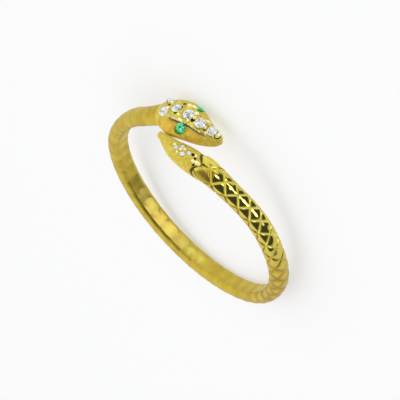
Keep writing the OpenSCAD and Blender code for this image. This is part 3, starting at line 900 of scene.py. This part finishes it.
# %% Tones of gold
GOLD = (0.76, 0.61, 0.11)
WARM_GOLD = (0.77, 0.59, 0.075)
WORN_GOLD = (0.66, 0.46, 0.055)
LINE_GOLD = (1, 0.87, 0.13)
DEEP_GOLD = (0.38, 0.18, 0.013)
RUDDY_GOLD = (0.90, 0.60, 0.055)
COPPERY_GOLD = (0.66, 0.30, 0.02)
# The paler gold below is for painted highlights, on the beads and on the plate's rim.
HIGHLIGHT_GOLD = (1, 0.93, 0.46)
PLATE_GOLD = (0.97, 0.79, 0.095)
SATIN_GOLD = (0.86, 0.705, 0.09)
PIT_SHADE_GOLD = (0.16, 0.10, 0.015)
SHADE = (0.07, 0.055, 0.015)


def gold(name, colour, roughness, size=0.12, strength=0.25, distance=0.01, low=0.88,
         other=None, own=None, metal=1, glow=0):
    """Gold whose colour and roughness change a little from place to place.

    size, strength and distance are the grain's, low is how dark its hollows are, and other is the
    colour where the attribute named by own is 1.
    """
    material, tree, shader = new_material(name)
    noise = grain(tree, shader, size, strength, distance)
    tone = colour_mix(tree, noise, colour, tuple(low * x for x in colour))
    if other:
        other = colour_mix(tree, noise, other, tuple(low * x for x in other))
        tone = colour_mix(tree, attribute(tree, own), tone, other)
        if own == "ruddy":
            tone = blotches(tree, tone, COPPERY_GOLD, 0.9, attribute(tree, own))
        tone = colour_mix(tree, attribute(tree, "shadow"), tone, SHADE)
    uneven = ranged(tree, noise, a=0.85 * roughness, b=1.15 * roughness)
    feed(shader, {
        "Base Color": tone, "Metallic": metal, "Roughness": uneven, "Emission Color": tone, "Emission Strength": glow,
    })
    return material


# The beads' paler gold and faint glow are a painted highlight.
polished = gold("glowing_bead_gold", HIGHLIGHT_GOLD, 0.2, strength=0.1, metal=0.6, glow=0.28)
# Where the edge attribute is 1, the plate's rim is painted paler gold as a highlight.
bright = gold(
    "bright_cut_gold", PLATE_GOLD, 0.18, size=0.45, strength=1, distance=0.1, low=0.6,
    other=HIGHLIGHT_GOLD, own="edge", metal=0.65)
# Pits and the nose's dip are painted dark brown: painted shade in the recesses.
pit = gold("pit_shade_gold", PIT_SHADE_GOLD, 0.4)
# Where the ruddy attribute is 1 the satin is painted ruddy and coppery: on the cheek a painted reflection, in its
# corner painted shade.
satin = gold(
    "satin_gold", SATIN_GOLD, 0.5, size=0.22, strength=1, distance=0.03, low=0.78,
    other=RUDDY_GOLD, own="ruddy", metal=0.3)
print("finishes:", polished.name, bright.name, pit.name, satin.name)


# %% The scales' own gold
POLISHED_SKIN, SATIN_SKIN = 0.06, 0.42


def scale_gold():
    """Polished gold with rougher lines, from the body's own attributes."""
    material, tree, shader = new_material("scale_gold")
    line, soft, brown = attribute(tree, "line"), attribute(tree, "satin"), attribute(tree, "brown")
    # Cut lines are painted paler and less metallic as a highlight, and browner where brown is 1, as painted shade.
    cut_tone = colour_mix(tree, brown, LINE_GOLD, DEEP_GOLD)
    light_line = combined(tree, "MULTIPLY", line, ranged(tree, brown, a=1, b=0))
    satin_tone = blotches(tree, colour_mix(tree, soft, GOLD, WARM_GOLD), WORN_GOLD, 1.1, soft)
    tone = colour_mix(tree, line, satin_tone, cut_tone)
    tone = colour_mix(tree, attribute(tree, "shadow"), tone, SHADE)
    rough_line, rough_skin = (ranged(tree, share, a=POLISHED_SKIN, b=SATIN_SKIN) for share in (line, soft))
    feed(shader, {
        "Base Color": tone, "Metallic": ranged(tree, light_line, a=1, b=0.3),
        "Roughness": combined(tree, "MAXIMUM", rough_line, rough_skin),
    })
    grain(tree, shader, 0.5, 0.12, 0.005)
    return material


body.data.materials.append(scale_gold())
print("scales in", body.data.materials[0].name)

# %% [markdown]
# Between the stones lie small pits, where the setter's drill has gone in beside the beads, and their
# dark brown is painted shade. They are cut with the seats. The snout ends in an oval dip for the bead
# that makes the nose, which is painted as dark as the pits.

# %% Cut the seats and pits
# Share of the length, across as a share, and radius in mm.
PITS = [
    [0.511, 0.25, 0.15], [0.515, -0.16, 0.13], [0.703, 0.10, 0.19], [0.838, 0.175, 0.18], [0.384, -0.05, 0.14],
    [0.505, -0.42, 0.15], [0.692, -0.56, 0.13],
]
TAIL_PITS = [[0.211, -0.285, 0.15], [0.151, -0.081, 0.12], [0.112, 0.5, 0.12], [0.412, 0.25, 0.1]]
NOSE_DIP = [(0, -0.2), (0.25, -0.08), (0.3, 0.3), (0, 0.3)]
nose = on_head(0.957, -0.04, 0.66) @ Matrix.Rotation(math.radians(38), 4, "X")
oval = nose @ Matrix.Diagonal((1.45, 1, 1, 1))

crest_cutters = bmesh.new()
for share, across, height, size, lean in CREST:
    add_turned(crest_cutters, seat_profile(size * CREST_D, 0.5, 0.05), on_head(share, across, height, lean))
for share, across, height, lean in EYES:
    add_turned(crest_cutters, seat_profile(EYE_D, 0.2, 0.02), on_head(share, across, height, lean))
add_turned(crest_cutters, NOSE_DIP, oval, 24, 2)
for share, across, r in PITS:
    add_turned(crest_cutters, pit_profile(r), on_head(share, across, 0.96, 12 * across), 12, 2)

tail_cutters = bmesh.new()
for share, across, height, lean in TAIL_STONES:
    add_turned(tail_cutters, seat_profile(TAIL_STONE_D, 0.4, 0.02), on_tail(share, across, height, lean))
for share, across, r in TAIL_PITS:
    add_turned(tail_cutters, pit_profile(r), on_tail(share, across, 0.88, 20 * across), 12, 2)

head = cut(head, crest_cutters, "head", [satin, bright, pit])
tail = cut(tail, tail_cutters, "tail", [satin, bright, pit])

# %% [markdown]
# ## Beads
# Between the stones the setter raises small beads of the casting, which hold the stones' edges.
# They are squashed balls that stand in the metal. Each is polished and shows a bright point, but so
# small a ball mirrors almost none of the tent in a picture of this size, so the bright point is
# painted: the beads' gold is paler than the rest and given a faint glow of its own colour.

# %% Beads on crest, tail and snout: share, across, height, length and width in mm
CREST_BEADS = [
    [0.400, 0.15, 0.96, 0.26, 0.26], [0.405, -0.20, 0.96, 0.24, 0.24], [0.553, -0.49, 0.90, 0.44, 0.32],
    [0.602, -0.57, 0.87, 0.60, 0.22], [0.679, -0.32, 0.94, 0.46, 0.32], [0.700, -0.05, 0.98, 0.24, 0.26],
    [0.823, -0.32, 0.83, 0.52, 0.24], [0.836, 0.03, 0.90, 0.22, 0.26], [0.735, 0.15, 0.94, 0.24, 0.18],
    [0.560, 0.26, 0.965, 0.34, 0.20], [0.605, 0.42, 0.92, 0.56, 0.20], [0.672, 0.24, 0.95, 0.30, 0.20],
    [0.860, 0.24, 0.83, 0.26, 0.18],
]
CREST_BEAD_TALL, TAIL_BEAD_TALL = 0.32, 0.24
TAIL_BEADS = [
    [0.535, -0.12, 0.80, 0.24, 0.24], [0.400, -0.02, 0.88, 0.26, 0.26], [0.355, -0.24, 0.87, 0.24, 0.24],
    [0.075, 0.13, 0.90, 0.56, 0.34], [0.415, 0.36, 0.84, 0.24, 0.24], [0.165, -0.36, 0.89, 0.28, 0.22],
    [0.145, 0.22, 0.90, 0.40, 0.28],
]
beads = bmesh.new()


def add_bead(place, long, wide, tall):
    squashed = place @ Matrix.Diagonal((wide, long, tall, 1))
    bmesh.ops.create_icosphere(beads, subdivisions=3, radius=0.5, matrix=squashed)


for share, across, height, long, wide in CREST_BEADS:
    add_bead(on_head(share, across, height + 0.02, 14 * across), long, wide, CREST_BEAD_TALL)
add_bead(nose, 0.34, 0.60, 0.34)
for share, across, height, long, wide in TAIL_BEADS:
    add_bead(on_tail(share, across, height + 0.03, 20 * across), long, wide, TAIL_BEAD_TALL)
beads = as_piece(beads, "beads")
beads.data.materials.append(polished)
print("beads:", len(beads.data.polygons), "faces")


# %% [markdown]
# ## Stones
# The CAD stones are round brilliants with a table and eight facets. Each gets a finer copy here with
# the facets of a real brilliant, found by stretching a convex hull over a few rings of points. Every
# facet of a real stone sends back another part of the light. Clear glass could do that here too, but
# in stones this small it only looks like noise, so each facet gets its own light or dark tint, a
# painted reflection.


# %% Clear and green stone
CLEAR_TINTS = [
    (0, (0.24, 0.26, 0.18)), (0.12, (0.44, 0.46, 0.40)), (0.28, (0.70, 0.72, 0.64)), (0.5, (0.92, 0.93, 0.82)),
    (0.7, (1, 1, 0.91)),
]
GREEN_TINTS = [
    (0, (0, 0.10, 0.03)), (0.3, (0.02, 0.50, 0.17)), (0.6, (0.06, 0.88, 0.33)), (1, (0.6, 1, 0.75)),
]
# The stones glow faintly in their tints: painted light.
STONE_GLOW = 0.03


def stone(name, tints, ior, through_light):
    """A polished stone, whose facets take their tints from the attribute of that name."""
    material, tree, shader = new_material(name)
    speckle = grain(tree, shader, 0.3, 0.05, 0.002)
    ramp = node(tree, "ValToRGB")
    ramp.color_ramp.elements.remove(ramp.color_ramp.elements[1])
    for place, colour in tints:
        spot = ramp.color_ramp.elements.new(place)
        spot.color = (*colour, 1)
    ramp.color_ramp.elements.remove(ramp.color_ramp.elements[0])
    feed(ramp, {"Fac": attribute(tree, "tint")})
    tint = ramp.outputs["Color"]
    feed(shader, {
        "Base Color": tint, "Roughness": ranged(tree, speckle, b=0.06), "IOR": ior,
        "Transmission Weight": through_light, "Emission Color": tint, "Emission Strength": STONE_GLOW,
    })
    return material


clear = stone("clear_stone", CLEAR_TINTS, 2.0, 0.1)
green = stone("green_stone", GREEN_TINTS, 1.7, 0.1)
print("stones' materials:", clear.name, green.name)

# %% A brilliant: rings of points by count, radius, height and turn, as shares of its width
RINGS = [
    (8, 0.28, 0.16, 0), (8, 0.385, 0.107, 0.5), (16, 0.5, 0.02, 0), (16, 0.5, -0.02, 0), (8, 0.25, -0.235, 0.5),
]
POINT = -0.42
picker = np.random.default_rng(5)


def brilliant(name, d, place, material):
    """A round stone of width d, with its table, facets and point."""
    bm = bmesh.new()
    for count, r, z, offset in RINGS:
        turned = Matrix.Translation((0, 0, z * d)) @ Matrix.Rotation(math.tau * offset / count, 4, "Z")
        bmesh.ops.create_circle(bm, segments=count, radius=r * d, matrix=place @ turned)
    bm.verts.new(place @ Vector((0, 0, POINT * d)))
    bmesh.ops.convex_hull(bm, input=bm.verts[:])
    bmesh.ops.delete(bm, geom=[e for e in bm.edges if not e.link_faces], context="EDGES_FACES")
    bmesh.ops.dissolve_limit(bm, angle_limit=math.radians(1), verts=bm.verts[:], edges=bm.edges[:])
    table = max(bm.faces, key=lambda f: f.calc_area())
    bmesh.ops.poke(bm, faces=[table])
    tint = bm.faces.layers.float.new("tint")
    for face in bm.faces:
        face[tint] = picker.random()
    bmesh.ops.recalc_face_normals(bm, faces=bm.faces[:])
    piece = as_piece(bm, name + "_cut")
    piece.data.shade_flat()
    piece.data.materials.append(material)
    return piece


print(1 + sum(ring[0] for ring in RINGS), "points to a stone")

# %% Set the stones
stones = {}
for number, (share, across, height, size, lean) in enumerate(CREST, 1):
    stones[f"crest_stone_{number}"] = (size * CREST_D, on_head(share, across, height, lean), clear)
for side, (share, across, height, lean) in zip(("left", "right"), EYES):
    stones["eye_stone_" + side] = (EYE_D, on_head(share, across, height, lean), green)
for number, (share, across, height, lean) in enumerate(TAIL_STONES, 1):
    stones[f"tail_stone_{number}"] = (TAIL_STONE_D, on_tail(share, across, height, lean), clear)
for name, (d, place, material) in stones.items():
    gem = brilliant(name, d, place, material)
    middle = sum((v.co for v in gem.data.vertices), Vector()) / len(gem.data.vertices)
    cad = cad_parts[name]
    cad_middle = sum((cad.matrix_world @ v.co for v in cad.data.vertices), Vector()) / len(cad.data.vertices)
    off = 1000 * (middle - cad_middle).length
    print(name, len(gem.data.polygons), "facets,", round(off, 3), "mm from the CAD stone")
    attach(gem, "root")
    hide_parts(name)

# %% [markdown]
# ## Floor
# The ring lies on a plain pale table. A product photo's table is lit from below through milky
# glass, which keeps it white and its shadows faint, so this one is part pale paint and part its own
# light. It doesn't show in the gold, where it would brighten the dark scales.

# %% Floor
TABLE_SIZE = 1
TABLE_LIGHT = 0.47

table = bmesh.new()
bmesh.ops.create_grid(table, x_segments=1, y_segments=1, size=TABLE_SIZE)
floor = as_piece(table, "floor")
pale_table, _, pale_shader = new_material("pale_table")
feed(pale_shader, {
    "Base Color": (0.5, 0.5, 0.5, 1), "Roughness": 1, "Specular IOR Level": 0, "Emission Color": (1, 1, 1, 1),
    "Emission Strength": TABLE_LIGHT,
})
floor.data.materials.append(pale_table)
floor.visible_glossy = False
print("table of", 2 * TABLE_SIZE, "m a side")

# %% [markdown]
# ## Pieces on the body
# Body, head, tail and beads are one casting, so all four ride on the one body and stand for the CAD
# model's casting. The height of each piece is printed. The dressed ring must stay inside the CAD
# model's box.

# %% Ride, replace and finish
for piece in (body, head, tail, beads):
    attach(piece, "root")
    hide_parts("snake_ring")
    heights = [1000 * v.co.z for v in piece.data.vertices]
    print(piece.name, "z from", round(min(heights), 3), "to", round(max(heights), 3), "mm")
